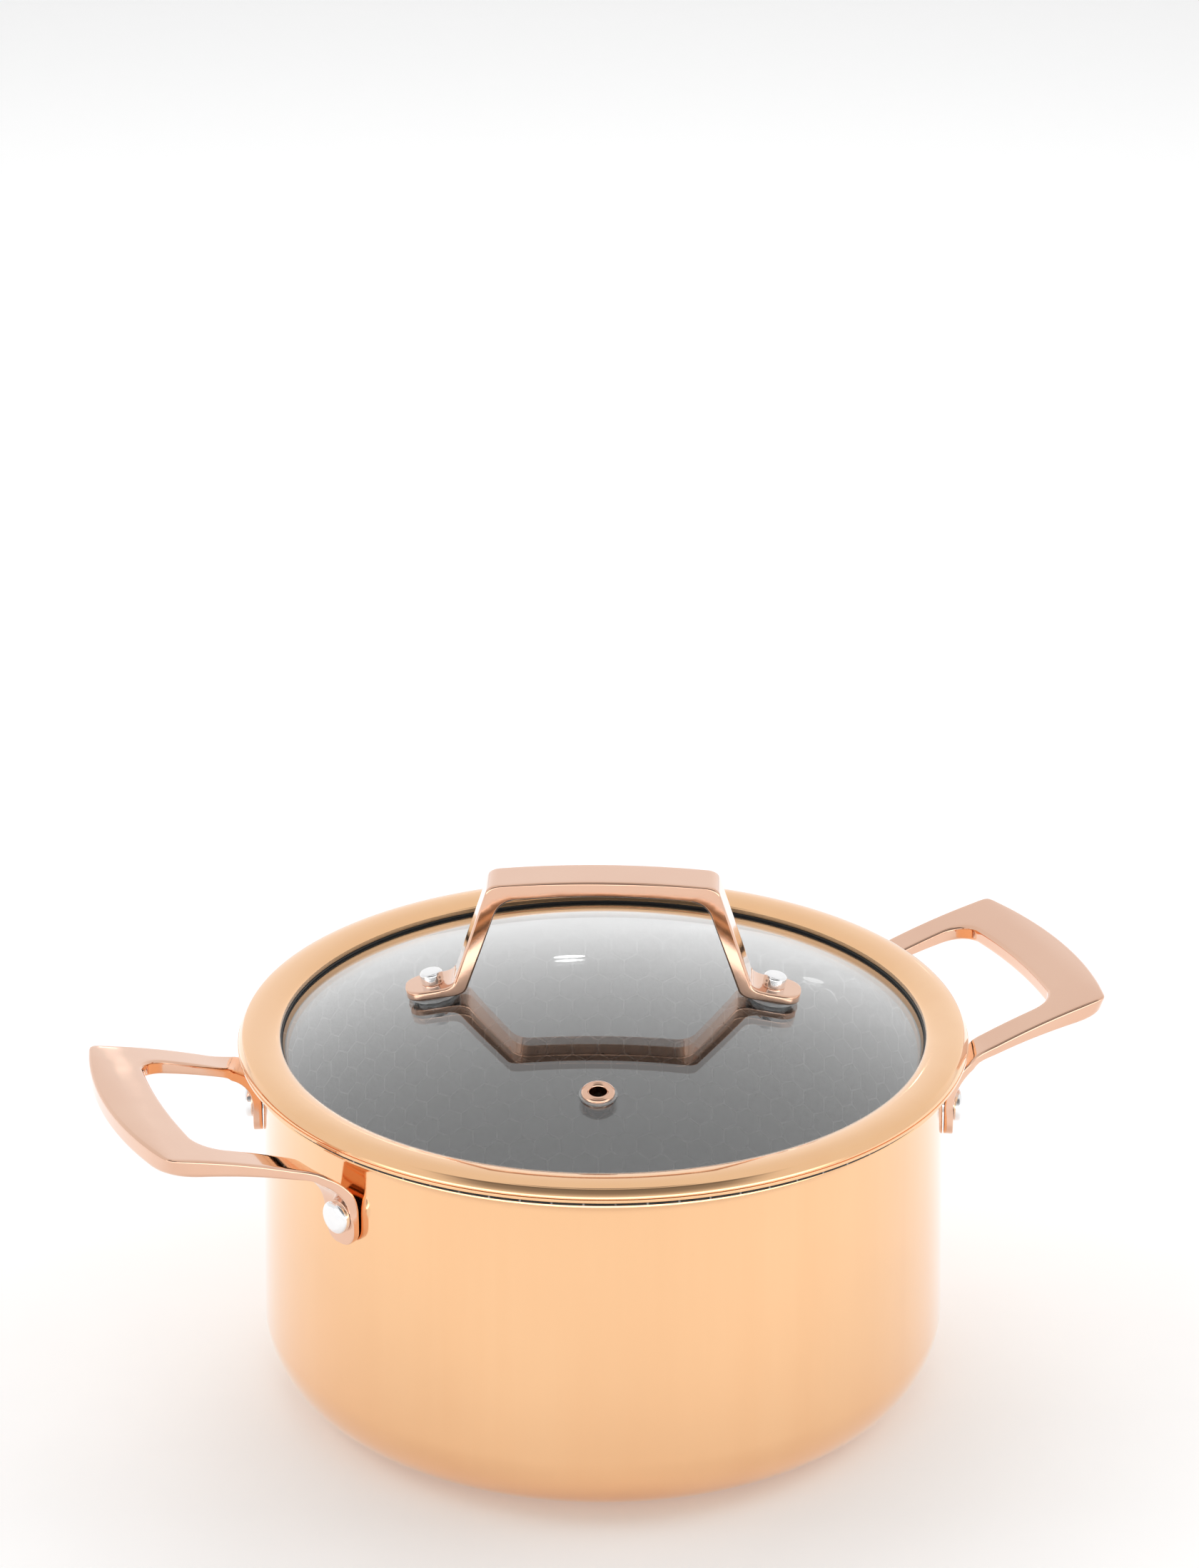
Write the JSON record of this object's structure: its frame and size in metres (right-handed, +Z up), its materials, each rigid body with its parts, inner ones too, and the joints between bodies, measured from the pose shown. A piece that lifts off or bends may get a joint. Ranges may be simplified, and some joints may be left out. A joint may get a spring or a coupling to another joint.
{
  "type": "lidded saucepan",
  "caption": "Two-handled copper-finish saucepan with a rounded base, a pouring lip and a lift-off domed glass lid with a bridge handle.",
  "frame": {"origin": "centre of the pot's base, on the surface it stands on", "axes": "+Z up along the pot's axis, +X towards the right side handle, +Y away from the front"},
  "size_m": [0.307, 0.2176, 0.1611],
  "materials": {
    "copper_finish": "mirror-polished rose-copper plating on stainless steel",
    "aluminium_core": "plain, enclosed between the steel plies",
    "non_stick_liner": "dark non-stick coating over steel with a fine raised hexagon pattern",
    "rose_handle": "mirror-polished pink-copper plating on cast steel",
    "rivet_steel": "polished stainless steel",
    "lid_glass": "clear tempered glass, polished",
    "black_silicone": "satin silicone",
    "clear_silicone": "translucent silicone"
  },
  "bodies": {
    "pot": {"pot_outer_skin": "copper_finish", "pot_core": "aluminium_core", "pot_liner": "non_stick_liner", "side_handle_left": "rose_handle", "side_handle_right": "rose_handle", "side_rivet_left_front": "rivet_steel", "side_rivet_left_rear": "rivet_steel", "side_rivet_right_front": "rivet_steel", "side_rivet_right_rear": "rivet_steel"},
    "lid": {"lid_glass": "lid_glass", "lid_rim": "copper_finish", "lid_seal": "black_silicone", "vent_eyelet": "rose_handle", "vent_washer": "clear_silicone", "lid_handle": "rose_handle", "lid_rivet_left": "rivet_steel", "lid_rivet_right": "rivet_steel", "upper_gasket_left": "clear_silicone", "upper_gasket_right": "clear_silicone", "lower_gasket_left": "clear_silicone", "lower_gasket_right": "clear_silicone", "backing_washer_left": "rivet_steel", "backing_washer_right": "rivet_steel"}
  },
  "joints": [
    {"name": "lid_lift", "type": "slide", "parent": "pot", "child": "lid", "axis": [0, 0, 1], "range_m": [0, 0.15]}
  ]
}
